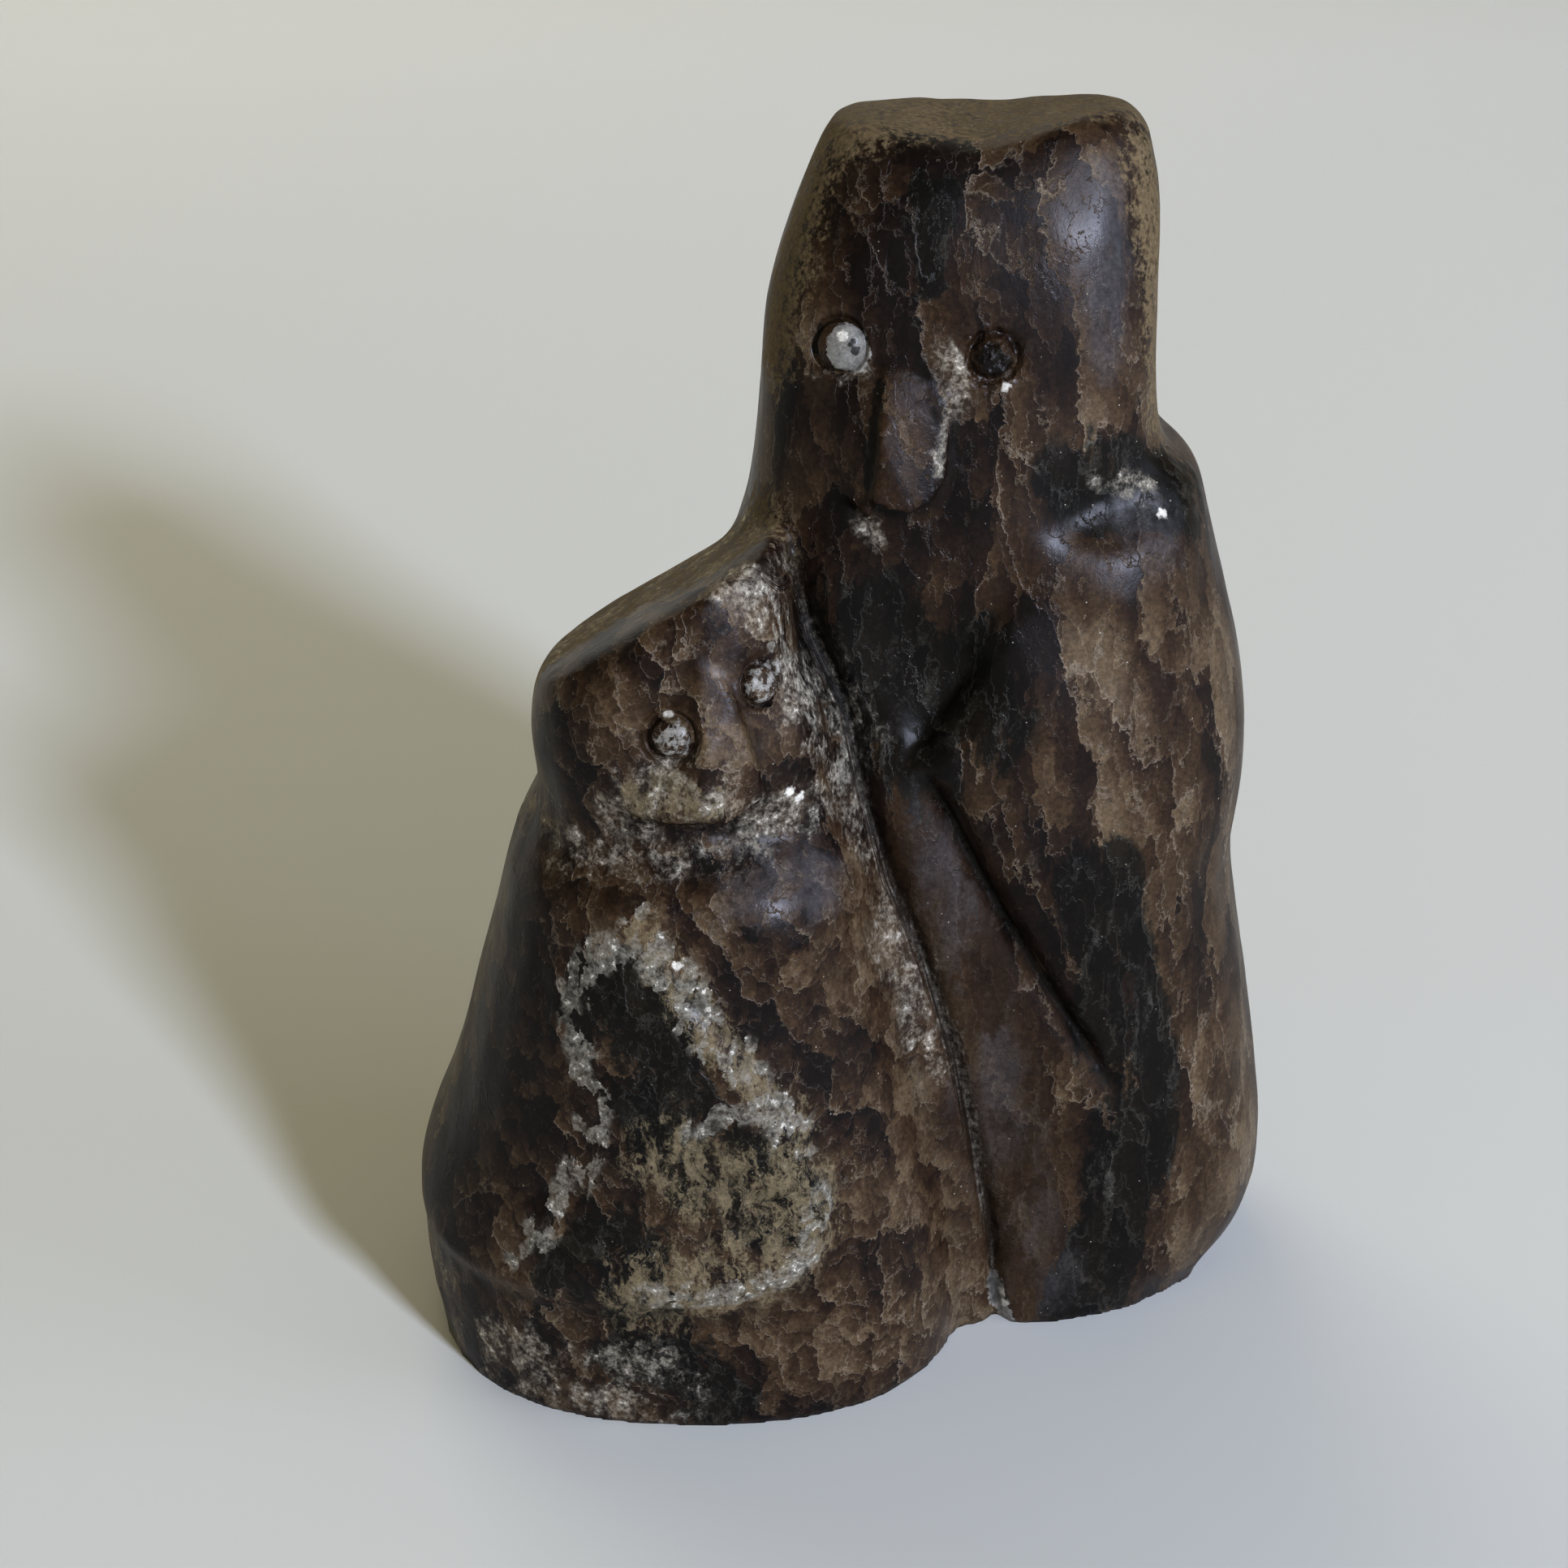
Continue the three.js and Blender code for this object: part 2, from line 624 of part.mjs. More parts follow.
// An eye is drilled square to the face around a dome.
function eyeParts({ x, z, diameter }) {
  const place = faceAt(x, z);
  const turn = new THREE.Quaternion().setFromUnitVectors(new THREE.Vector3(0, 1, 0), outwardAt(place));
  const bottomRadius = (diameter - eyeDrillTaper) / 2;
  const drill = new THREE.CylinderGeometry(diameter / 2, bottomRadius, 6 * eyeRingDepth, roundSides);
  drill.translate(0, 2 * eyeRingDepth, 0);
  const domeRadius = diameter / 2 - eyeRingWidth;
  const dome = new THREE.SphereGeometry(1, roundSides, roundSides / 2);
  dome.scale(domeRadius, eyeRingDepth + eyeDomeRise, domeRadius);
  dome.translate(0, -eyeRingDepth, 0);
  return [drill, dome].map((shape) => {
    shape.applyQuaternion(turn);
    shape.translate(place.x, place.y, place.z);
    return solidOfGeometry(shape);
  });
}

function carvedStone() {
  let stone = sawnBlock(carvedMesh());
  stone = stone.add(beakBlock(adultBeakFront, adultBeakRise));
  stone = stone.add(beakBlock(adultBeakSide, adultBeakRise));
  stone = stone.add(beakBlock(youngBeakFacets, youngBeakRise));
  for (const slit of beakSlitParts()) stone = stone.subtract(slit);
  for (const [drill, dome] of eyes.map(eyeParts)) stone = stone.subtract(drill).add(dome);
  const { vertProperties, triVerts } = stone.getMesh();
  const geometry = new THREE.BufferGeometry();
  geometry.setAttribute('position', new THREE.BufferAttribute(new Float32Array(vertProperties), 3));
  geometry.setIndex(new THREE.BufferAttribute(new Uint32Array(triVerts), 1));
  geometry.computeVertexNormals();
  return geometry;
}

const soapstone = new THREE.MeshStandardMaterial({ color: 0x3a2c24, roughness: 0.38, metalness: 0 });

const stone = new THREE.Mesh(carvedStone(), soapstone);
stone.name = 'soapstone_birds';

const carving = new THREE.Group();
carving.add(stone);

export default carving;
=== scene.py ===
import math

import bmesh
import bpy
import numpy as np
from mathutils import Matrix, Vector
from mathutils.bvhtree import BVHTree


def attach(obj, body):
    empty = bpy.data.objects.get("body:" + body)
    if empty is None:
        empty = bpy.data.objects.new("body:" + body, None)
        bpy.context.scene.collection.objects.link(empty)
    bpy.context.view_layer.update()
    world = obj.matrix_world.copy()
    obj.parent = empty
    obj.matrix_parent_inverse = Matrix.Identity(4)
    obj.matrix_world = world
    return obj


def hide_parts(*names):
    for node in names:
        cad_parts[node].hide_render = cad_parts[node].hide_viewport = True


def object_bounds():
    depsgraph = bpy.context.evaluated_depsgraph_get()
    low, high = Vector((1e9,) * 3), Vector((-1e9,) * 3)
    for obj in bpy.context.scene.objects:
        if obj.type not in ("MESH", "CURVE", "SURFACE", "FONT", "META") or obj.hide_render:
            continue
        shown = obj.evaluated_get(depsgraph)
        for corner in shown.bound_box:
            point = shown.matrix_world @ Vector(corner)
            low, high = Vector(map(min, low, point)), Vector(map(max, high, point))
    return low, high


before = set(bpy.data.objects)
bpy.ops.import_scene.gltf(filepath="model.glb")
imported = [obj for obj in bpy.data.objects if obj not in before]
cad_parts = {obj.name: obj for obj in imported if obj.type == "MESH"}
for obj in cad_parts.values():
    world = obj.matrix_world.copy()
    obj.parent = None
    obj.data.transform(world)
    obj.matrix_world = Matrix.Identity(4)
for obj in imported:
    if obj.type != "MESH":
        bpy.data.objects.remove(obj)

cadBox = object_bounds()
mm = 0.001
print("frame loaded")


def srgb(hexColour):
    channels = [int(hexColour[i:i + 2], 16) / 255 for i in (1, 3, 5)]
    return [c / 12.92 if c <= 0.04045 else ((c + 0.055) / 1.055) ** 2.4 for c in channels] + [1.0]


def addNode(tree, kind, settings=None, links=None, output=0):
    # a setting is a property's name or a socket's name or number, and "stops" are a ramp's colours
    node = tree.nodes.new("ShaderNode" + kind)
    for name, value in (settings or {}).items():
        if name == "stops":
            ramp = node.color_ramp
            while len(ramp.elements) < len(value):
                ramp.elements.new(0.5)
            for element, (place, colour) in zip(ramp.elements, value):
                element.position = place
                element.color = srgb(colour)
        elif isinstance(name, str) and hasattr(node, name):
            setattr(node, name, value)
        else:
            node.inputs[name].default_value = value
    for name, socket in (links or {}).items():
        tree.links.new(socket, node.inputs[name])
    return node.outputs[output]


def pickOnly(piece):
    bpy.ops.object.select_all(action="DESELECT")
    piece.select_set(True)
    bpy.context.view_layer.objects.active = piece


def applyModifier(piece, kind, **settings):
    modifier = piece.modifiers.new(kind.lower(), kind)
    for name, value in settings.items():
        setattr(modifier, name, value)
    pickOnly(piece)
    bpy.ops.object.modifier_apply(modifier=modifier.name)


def fadeIn(values, start, end):
    # 0 at the start and 1 at the end, whichever of the two is larger
    return np.clip((values - start) / (end - start), 0, 1)


# lines along the stone's features in mm: X and Z as seen from the front, or X, Y and Z elsewhere
places = {
    "birdGroove": [(-14, 141), (-9, 134), (-6, 123), (-1, 113), (2, 100), (6, 85), (12, 70),
                   (17, 54), (21, 35), (24, 18), (26, 1)],
    "grooveDust": [(-15, 139), (-12, 131), (-9, 122), (-5, 112), (-2, 103)],
    "grooveFoot": [(25, 8), (27, 1)],
    "upperWing": [(21, 126), (16, 116), (10, 107)],
    "lowerWing": [(10, 107), (15, 98), (25, 78), (37, 58), (47, 41)],
    "wingRim": [(-36, 92), (-29, 83), (-21, 71), (-12, 60), (-6, 48), (-4, 38), (-6, 29),
                (-13, 26), (-22, 24), (-46, 24), (-66, 23)],
    "browEdge": [(-48, 119), (-43, 124), (-33, 131), (-27, 135), (-23, 136), (-19, 138)],
    "adultBeak": [(5, 166), (7, 158), (7, 148)],
    "adultBeakFront": [(7, 162), (7, 156), (7, 150)],
    "adultBeakSide": [(13, 162), (13, 155), (12, 148)],
    # painted shade: the dark slit under the beak's ridge
    "adultBeakSlitShade": [(3.6, 164), (2.8, 158), (1.8, 149)],
    "adultBeakTip": [(0.5, 143), (2.5, 140)],
    "adultEyeRight": [(12, 168), (14, 165), (14, 161)],
    "adultEyeLeft": [(-6, 164), (-2, 164), (2, 166)],
    "eyeWhite": [(-1.3, 169.2), (-1, 168.2)],
    "eyePit": [(-0.5, 169.4), (-0.2, 168.5)],
    # painted shade: the dark crescent in the eye's ring
    "eyeCrescentShade": [(-5.4, 168), (-5, 170)],
    "eyeDark": [(20, 168), (20.6, 167)],
    "youngBeak": [(-24, 129), (-20, 117), (-20, 106), (-29, 106)],
    "youngFace": [(-36, 121), (-22, 113), (-14, 117)],
    "beakFoot": [(-34, 106), (-27, 111), (-25, 107), (-22, 110)],
    "beakCheek": [(-32, 107), (-27, 109), (-23, 108)],
    "temple": [(-6, 118), (-2, 108), (0, 99)],
    "neckFurrow": [(-53, 92), (-41, 97), (-31, 99), (-19, 100), (-11, 103), (-5, 103)],
    "flankDust": [(2, 90), (6, 78), (10, 66), (14, 54)],
    "breastPit": [(-16, 88), (-15.6, 87)],
    "shoulder": [(36, 148), (44, 146)],
    "baseBand": [(-68, 13), (-66, 4), (-57, 6), (-46, 8), (-32, 8)],
    "veinMain": [(-32, 88), (-28, 82), (-24, 75), (-19, 68), (-14, 62), (-10, 57), (-8, 52)],
    "veinLeft": [(-31, 86), (-36, 85), (-41, 82), (-43, 76), (-42, 68), (-40, 60), (-41, 51),
                 (-44, 43), (-49, 35), (-53, 30)],
    "veinCross": [(-25, 55), (-19, 59), (-13, 60)],
    "cream": [(-28, 49), (-19, 47), (-11, 44), (-8, 39), (-13, 34), (-22, 30), (-32, 26)],
    "creamEdge": [(-5, 42), (-6, 33), (-10, 29), (-20, 27), (-32, 26)],
    "nightForehead": [(11, 190), (10, 185), (10, 180)],
    "nightShoulder": [(34, 149), (43, 145), (52, 144)],
    # in the chest hollow the near-black is partly painted shade
    "nightChestShade": [(2, 122), (7, 116), (11, 109), (16, 116)],
    "nightBelly": [(38, 86), (41, 72), (45, 57), (47, 41), (45, 27), (43, 13), (41, 4)],
    "nightWing": [(-40, 76), (-32, 76), (-31, 68), (-29, 60), (-25, 52), (-11, 43)],
    "nightWingLow": [(-43, 30), (-37, 34), (-34, 27)],
    "nightBase": [(-36, 15), (-28, 13), (-22, 6)],
    "tanTemple": [(-5, 177), (-7, 171), (-6, 165)],
    "tanShoulder": [(38, 124), (34, 112), (38, 100), (45, 92)],
    "tanWing": [(58, 118), (57, 104), (50, 96), (58, 86), (62, 76)],
    "tanLowRight": [(61, 55), (66, 44), (70, 30), (67, 24)],
    "tanFlank": [(1, 84), (8, 63), (14, 43), (18, 23), (21, 6)],
    "tanBase": [(-15, 18), (-4, 13), (10, 10), (19, 7)],
    # painted highlights: the broad bluish sheen of the polish on the forehead, the shoulder and the breast
    "sheenForehead": [(37, 190), (37, 178), (38, 168)],
    "sheenShoulder": [(43, 141), (46, 137)],
    "sheenBreast": [(-15, 91), (-9, 93), (-4, 92)],
    "face": [(6, 182), (12, 172), (20, 178), (4, 150), (16, 138)],
    "youngFlankInShade": [(-50, 80), (-60, 50), (-64, 34)],
    "belly": [(9, 98), (16, 77), (22, 52), (28, 27), (33, 8)],
    "rubbedTop": [(1, 20, 198), (12, 23, 198), (24, 22, 198), (37, 25, 199)],
    "rubbedLeft": [(-4, 13, 195), (-8, 11, 187), (-10, 6, 179), (-12, 4, 167)],
    "rubbedRight": [(44, 8, 193), (45, 6, 182), (45, 6, 170), (46, 6, 156)],
    "rubbedRoof": [(-44, 0, 118), (-37, 2, 122), (-28, 4, 128), (-21, -3, 134)],
    # white spots: the three on the eyes are painted highlights, the lamp's glints on the eye domes; the rest
    # are white chips of the stone
    "whiteChipsAndEyeGlints": [(-1.9, 170.3), (22.1, 163.1), (47, 142), (-27.2, 119.3), (-26.4, 83),
                   (-8, 105), (-9.5, 106), (26.3, 6), (26.8, 3.5)],
}


def onStone(nodeName):
    # each marked point is laid on the stone as it is seen from the front
    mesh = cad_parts[nodeName].data
    skin = BVHTree.FromPolygons([v.co.copy() for v in mesh.vertices],
                                [f.vertices[:] for f in mesh.polygons])
    laid = {}
    for name, line in places.items():
        points = []
        for point in line:
            if len(point) == 2:
                start = Vector((point[0] * mm, -0.3, point[1] * mm))
                hit = skin.ray_cast(start, Vector((0, 1, 0)))[0]
                hit = hit or skin.find_nearest(Vector((point[0], 0, point[1])) * mm)[0]
                point = hit / mm
            points.append(tuple(point))
        laid[name] = np.array(points, float)
    return laid


marked = onStone("soapstone_birds")


def nearLine(coords, name, halfWidth, fade):
    # 1 within halfWidth of the line, down to 0 after the fade, all in mm
    points = marked[name]
    nearest = np.full(len(coords), 1e9)
    for start, end in zip(points[:-1], points[1:]):
        along = end - start
        share = np.clip(((coords - start) @ along) / (along @ along), 0, 1)
        away = np.linalg.norm(coords - start - share[:, None] * along, axis=1)
        nearest = np.minimum(nearest, away)
    over = np.clip((nearest - halfWidth) / fade, 0, 1)
    return 1 - over * over * (3 - 2 * over)


def greatest(coords, *lines):
    return np.maximum.reduce([nearLine(coords, *line) for line in lines])


def coordsOf(piece):
    flat = np.empty(len(piece.data.vertices) * 3)
    piece.data.vertices.foreach_get("co", flat)
    return flat.reshape(-1, 3)


def normalsOf(piece):
    flat = np.empty(len(piece.data.vertices) * 3)
    piece.data.vertices.foreach_get("normal", flat)
    return flat.reshape(-1, 3)


def placeAt(piece, coords):
    piece.data.vertices.foreach_set("co", coords.ravel())
    piece.data.update()


def setGroup(piece, name, weights):
    # weights are laid in twenty steps, which is finer than the skin can show
    steps = 20
    group = piece.vertex_groups.new(name=name)
    levels = np.round(np.clip(weights, 0, 1) * steps).astype(int)
    for level in range(1, steps + 1):
        chosen = np.nonzero(levels == level)[0]
        if len(chosen):
            group.add(chosen.tolist(), level / steps, "REPLACE")


def setAttribute(piece, name, values):
    attribute = piece.data.attributes.new(name, "FLOAT", "POINT")
    attribute.data.foreach_set("value", np.clip(values, 0, 1).astype(np.float32))


# the stone
stoneForm = {
    "weldMm": 0.01,  # the solid's loose triangles are joined within this
    "skinMm": 0.7,  # edge length of the fine skin
    "mostFaces": 170000,  # triangles left once plain places are thinned out
    "rubbings": 80,  # rounds of rubbing smooth, away from the carved lines
    "lastRubbings": 2,  # and over the whole stone
    "topKept": 0.75,  # how much of the sawn top's edge is kept
    "waveMm": 22, "waveDepthMm": 0.5,  # slow unevenness that hand rasping leaves
    "toolMm": 4.2, "toolDepthMm": 0.5,  # rougher places that the polish didn't reach
    "crystalMm": 5.5, "crystalDepthMm": 0.8,  # broken crystals on the young bird's wing
    "wornMm": 1.6, "wornDepthMm": 1.6,  # the adult's right eye is worn all over
    "flatMm": 0.5,  # the underside is flat below this
}

# lines whose edges are kept while the facets are rubbed away, and the ones left rough,
# each with its half width and its fade in mm
keptLines = [("birdGroove", 2.5, 4), ("upperWing", 2, 4), ("lowerWing", 3, 4), ("wingRim", 2.5, 3),
             ("browEdge", 1.5, 3), ("adultBeak", 9, 3), ("youngBeak", 7, 3)]
crystalLines = [("nightWing", 8, 5), ("nightWingLow", 8, 5), ("cream", 7, 4), ("veinLeft", 3, 3)]
roughLines = [("birdGroove", 2, 5), ("neckFurrow", 3, 7), ("adultEyeRight", 3, 4), ("temple", 3, 4),
              ("nightShoulder", 4, 4), ("nightChestShade", 7, 7), ("baseBand", 6, 5), ("adultEyeLeft", 1, 3)]
wornLines = [("eyeDark", 3.5, 2)]


def skinnedCopy(nodeName, pieceName):
    piece = bpy.data.objects.new(pieceName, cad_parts[nodeName].data.copy())
    bpy.context.scene.collection.objects.link(piece)
    pickOnly(piece)
    bpy.ops.object.mode_set(mode="EDIT")
    bpy.ops.mesh.select_all(action="SELECT")
    bpy.ops.mesh.remove_doubles(threshold=stoneForm["weldMm"] * mm)
    bpy.ops.object.mode_set(mode="OBJECT")
    applyModifier(piece, "REMESH", mode="VOXEL", voxel_size=stoneForm["skinMm"] * mm)
    return piece


def rubSmooth(piece):
    # the facets are rubbed away, and the carved lines, eyes and beaks keep their edges
    coords = coordsOf(piece) / mm
    ground = fadeIn(coords[:, 2], 3, 1)
    top = stoneForm["topKept"] * fadeIn(coords[:, 2], 192, 195)
    setGroup(piece, "plain", 1 - np.maximum.reduce([greatest(coords, *keptLines), ground, top]))
    applyModifier(piece, "SMOOTH", factor=0.5, iterations=stoneForm["rubbings"], vertex_group="plain")
    setGroup(piece, "all", 1 - ground)
    applyModifier(piece, "SMOOTH", factor=0.5, iterations=stoneForm["lastRubbings"], vertex_group="all")


def uneven(piece, name, pattern, sizeMm, depthMm, group):
    texture = bpy.data.textures.new(name, pattern)
    texture.noise_scale = sizeMm * mm
    if pattern == "CLOUDS":
        texture.noise_depth = 3
    applyModifier(piece, "DISPLACE", texture=texture, texture_coords="LOCAL", strength=depthMm * mm,
                  mid_level=0.5, vertex_group=group)


# each eye: a dome left standing in a drilled ring, with its middle and sizes in mm
eyes = {
    "adultLeft": {"middle": (-2, -4, 168.5), "radius": 4.3, "dome": 3.7, "rise": 1.7, "ring": 0.6},
    "adultRight": {"middle": (20.3, -5, 167.5), "radius": 4.0, "dome": 3.1, "rise": 1.2, "ring": 0.9},
    "youngLeft": {"middle": (-27.1, -31, 117.2), "radius": 3.8, "dome": 3.0, "rise": 1.5, "ring": 1.0},
    "youngRight": {"middle": (-13.6, -27, 123.7), "radius": 3.7, "dome": 2.9, "rise": 1.4, "ring": 1.0},
}
drill = {
    "fineMm": 2.5, "fineCuts": 2,  # the skin is made finer this far outside an eye
    "bandFromMm": 0.6, "bandToMm": 3,  # the face around an eye, which the eye looks out of
    "edgeMm": 1.2, "edgeFadeMm": 0.9,  # the cut ends this far outside, and runs out softly
    "deepestMm": 6,  # skin further in belongs to another side of the head
    "wallMm": 0.35, "floorRound": 0.7,  # slope of the ring's walls, and how round its floor is
}


def refineNear(piece, middleMm, reachMm, cuts):
    middle = Vector(middleMm) * mm
    pickOnly(piece)
    bpy.ops.object.mode_set(mode="EDIT")
    bpy.ops.mesh.select_mode(type="FACE")
    bpy.ops.mesh.select_all(action="DESELECT")
    shape = bmesh.from_edit_mesh(piece.data)
    for face in shape.faces:
        face.select = (face.calc_center_median() - middle).length < reachMm * mm
    bmesh.update_edit_mesh(piece.data)
    bpy.ops.mesh.subdivide(number_cuts=cuts)
    bpy.ops.object.mode_set(mode="OBJECT")


def drillEye(piece, eye):
    radius = eye["radius"]
    refineNear(piece, eye["middle"], radius + drill["fineMm"], drill["fineCuts"])
    coords = coordsOf(piece) / mm
    normals = normalsOf(piece)
    away = np.linalg.norm(coords - eye["middle"], axis=1)
    inBand = (away > radius + drill["bandFromMm"]) & (away < radius + drill["bandToMm"])
    around = inBand & (normals[:, 1] < -0.3)
    out = normals[around].mean(0)
    out /= np.linalg.norm(out)
    middle = coords[around].mean(0)
    aim = np.array(eye["middle"]) - middle
    middle += aim - out * np.dot(aim, out)
    offset = coords - middle
    height = offset @ out
    across = np.linalg.norm(offset - height[:, None] * out, axis=1)
    near = (across < radius + drill["edgeMm"]) & (np.abs(height) < drill["deepestMm"])
    dome = eye["rise"] * np.sqrt(np.clip(1 - (across / eye["dome"]) ** 2, 0, 1))
    fromRing = np.abs(across - (radius + eye["dome"]) / 2)
    inRing = np.clip(1 - fromRing / ((radius - eye["dome"]) / 2 + drill["wallMm"]), 0, 1)
    wanted = dome - eye["ring"] * inRing ** drill["floorRound"]
    share = np.clip((radius + drill["edgeMm"] - across) / drill["edgeFadeMm"], 0, 1)
    coords[near] += (share * (wanted - height))[near, None] * out
    placeAt(piece, coords * mm)


def thinOut(piece):
    # plain places give up faces first, so that the carving keeps its fine skin
    piece.data.calc_loop_triangles()
    ratio = stoneForm["mostFaces"] / len(piece.data.loop_triangles)
    applyModifier(piece, "DECIMATE", ratio=ratio, use_collapse_triangulate=True)


def standFlat(piece):
    # the underside is sawn flat, and no tool mark reaches outside the solid's own box
    coords = np.clip(coordsOf(piece), cadBox[0], cadBox[1])
    coords[:, 2] = np.where(coords[:, 2] < stoneForm["flatMm"] * mm, 0, coords[:, 2])
    placeAt(piece, coords)


def buildStone():
    stone = skinnedCopy("soapstone_birds", "carved_birds")
    print("fine skin laid:", len(stone.data.polygons), "faces")
    rubSmooth(stone)
    coords = coordsOf(stone) / mm
    front = fadeIn(coords[:, 1], 6, -2)
    free = fadeIn(coords[:, 2], 3, 7)  # the foot stays as it is, so that the stone stands flat
    form = stoneForm
    setGroup(stone, "free", free)
    setGroup(stone, "wing", greatest(coords, *crystalLines) * front * free)
    setGroup(stone, "rough", greatest(coords, *roughLines) * free)
    uneven(stone, "handWave", "CLOUDS", form["waveMm"], form["waveDepthMm"], "free")
    uneven(stone, "toolMarks", "CLOUDS", form["toolMm"], form["toolDepthMm"], "rough")
    uneven(stone, "brokenCrystals", "VORONOI", form["crystalMm"], form["crystalDepthMm"], "wing")
    thinOut(stone)
    for eye in eyes.values():
        drillEye(stone, eye)
    setGroup(stone, "worn", greatest(coordsOf(stone) / mm, *wornLines))
    uneven(stone, "wornEye", "CLOUDS", form["wornMm"], form["wornDepthMm"], "worn")
    standFlat(stone)
    for group in list(stone.vertex_groups):
        stone.vertex_groups.remove(group)
    print("carved skin:", len(stone.data.polygons), "faces")
    return stone


# which marked lines carry each finish, with the half width and the fade in mm
finishes = {
    "vein": [("grooveDust", 0.2, 2.6), ("veinMain", 0.3, 4.8), ("veinLeft", 0.2, 3.6),
             ("veinCross", 0.2, 2.6), ("creamEdge", 0.2, 3)],
    "cream": [("cream", 3, 8), ("creamEdge", 2, 4), ("veinMain", 1, 4), ("beakCheek", 2, 3)],
    # near-black crystals of the stone, and in the chest hollow painted shade as well
    "night": [("nightWing", 5, 6), ("nightWingLow", 5, 5), ("nightBelly", 4, 6), ("nightForehead", 1, 4),
              ("nightChestShade", 6, 10), ("nightShoulder", 4, 5), ("nightBase", 3, 6)],
    "amber": [("tanLowRight", 2, 8), ("tanFlank", 4, 10), ("tanBase", 4, 9), ("tanTemple", 1, 6),
              ("tanWing", 3, 9), ("tanShoulder", 2, 8), ("adultBeakFront", 3, 3), ("youngFace", 2, 6)],
    # darker over the adult's face, and painted shade on the young bird's left flank, which is turned from
    # the light
    "deep": [("face", 13, 12), ("youngFlankInShade", 8, 8)],
    # near-black: painted shade in the beak's slit and in the crescent at the eye's left, and dark pits and
    # the worn eye
    "pit": [("eyePit", 0.4, 0.8), ("eyeDark", 0.8, 2.8), ("eyeCrescentShade", 0.6, 1.2),
            ("breastPit", 0.5, 1), ("adultBeakSlitShade", 0.4, 0.8)],
    "rubbed": [("rubbedTop", 12, 6), ("rubbedLeft", 2, 8), ("rubbedRight", 2, 6), ("rubbedRoof", 9, 6)],
}
# the finishes that are laid at two strengths: full lines, then faint lines and their share
mixedFinishes = {
    "dust": ([("grooveDust", 1, 9), ("birdGroove", 0, 2), ("neckFurrow", 0.5, 7), ("beakFoot", 1, 6),
              ("temple", 1, 8), ("adultEyeRight", 0.7, 2.8), ("adultBeakSide", 0, 1.2),
              ("adultEyeLeft", 0, 2), ("adultBeakTip", 0.5, 1.8), ("shoulder", 0, 2.6),
              ("grooveFoot", 0.5, 2)],
             [("baseBand", 5, 6), ("flankDust", 1, 6), ("rubbedRoof", 9, 6)], 0.7),
    # painted sheen on the forehead, shoulder and breast, and a fainter grey over the belly
    "milky": ([("sheenBreast", 2, 7), ("sheenForehead", 1, 6), ("sheenShoulder", 1, 6)],
              [("belly", 3, 6)], 0.45),
}
finishForm = {
    "hollowRounds": 24, "hollowMm": 0.35,  # a groove this deep gets the full painted shade
    "eyeKept": 0.65,  # how much of the painted shade is kept out of the hollows around the eyes
    "calm": 0.55,  # the polished belly shows its crystals less
    "glassySheen": 0.36,  # painted sheen: the young bird's eye domes are lightened a little, for their glassy shine
    "youngEdgeMm": 1.5, "youngTopMm": 139,  # where the young bird's grain gives way to the adult's
}


def hollowness(piece, rounds):
    # how far a smoothed copy of the surface stands outside it, in mm: more than 0 in grooves
    mesh = piece.data
    ends = np.empty(len(mesh.edges) * 2, np.int64)
    mesh.edges.foreach_get("vertices", ends)
    a, b = ends.reshape(-1, 2).T
    coords = coordsOf(piece) / mm
    most = len(coords)
    count = np.bincount(a, minlength=most) + np.bincount(b, minlength=most)
    smooth = coords.copy()
    for _ in range(rounds):
        total = np.stack([np.bincount(a, axis[b], most) + np.bincount(b, axis[a], most)
                          for axis in smooth.T], 1)
        smooth = 0.5 * smooth + 0.5 * total / count[:, None]
    return np.einsum("ij,ij->i", smooth - coords, normalsOf(piece))


def markStone(stone):
    form = finishForm
    coords = coordsOf(stone) / mm
    marked["whiteChipsAndEyeGlints"] = [coords[np.linalg.norm(coords - whiteSpot, axis=1).argmin()]
                            for whiteSpot in marked["whiteChipsAndEyeGlints"]]
    aroundEyes = np.maximum.reduce([fadeIn(np.linalg.norm(coords - eye["middle"], axis=1), 7, 5)
                                    for eye in eyes.values()])
    hollow = hollowness(stone, form["hollowRounds"]) / form["hollowMm"]
    # painted shade: grooves and hollows are darkened in colour, less so around the eyes
    setAttribute(stone, "hollow", hollow * (1 - form["eyeKept"] * aroundEyes))
    groove = marked["birdGroove"][::-1]
    grooveX = np.interp(coords[:, 2], groove[:, 2], groove[:, 0])
    onYoung = (grooveX - coords[:, 0]) / form["youngEdgeMm"]
    setAttribute(stone, "young", onYoung * (coords[:, 2] < form["youngTopMm"]))
    for name, lines in finishes.items():
        setAttribute(stone, name, greatest(coords, *lines))
    for name, (full, faint, share) in mixedFinishes.items():
        setAttribute(stone, name, np.maximum(greatest(coords, *full), share * greatest(coords, *faint)))
    setAttribute(stone, "calm", form["calm"] * greatest(coords, ("belly", 6, 6)))
    # painted sheen: the young bird's eye domes are laid in a light grey
    glassySheen = np.zeros(len(coords))
    for eye in (eyes["youngLeft"], eyes["youngRight"]):
        away = np.hypot(coords[:, 0] - eye["middle"][0], coords[:, 2] - eye["middle"][2])
        inEye = fadeIn(away, eye["dome"] + 0.4, eye["dome"] - 0.4) * (coords[:, 1] < -10)
        glassySheen = np.maximum(glassySheen, inEye)
    pearl = greatest(coords, ("eyeWhite", 2.6, 1), ("grooveFoot", 0.8, 1.6))
    setAttribute(stone, "pearl", np.maximum(form["glassySheen"] * glassySheen, pearl))


stone = buildStone()
markStone(stone)
print("stone carved")


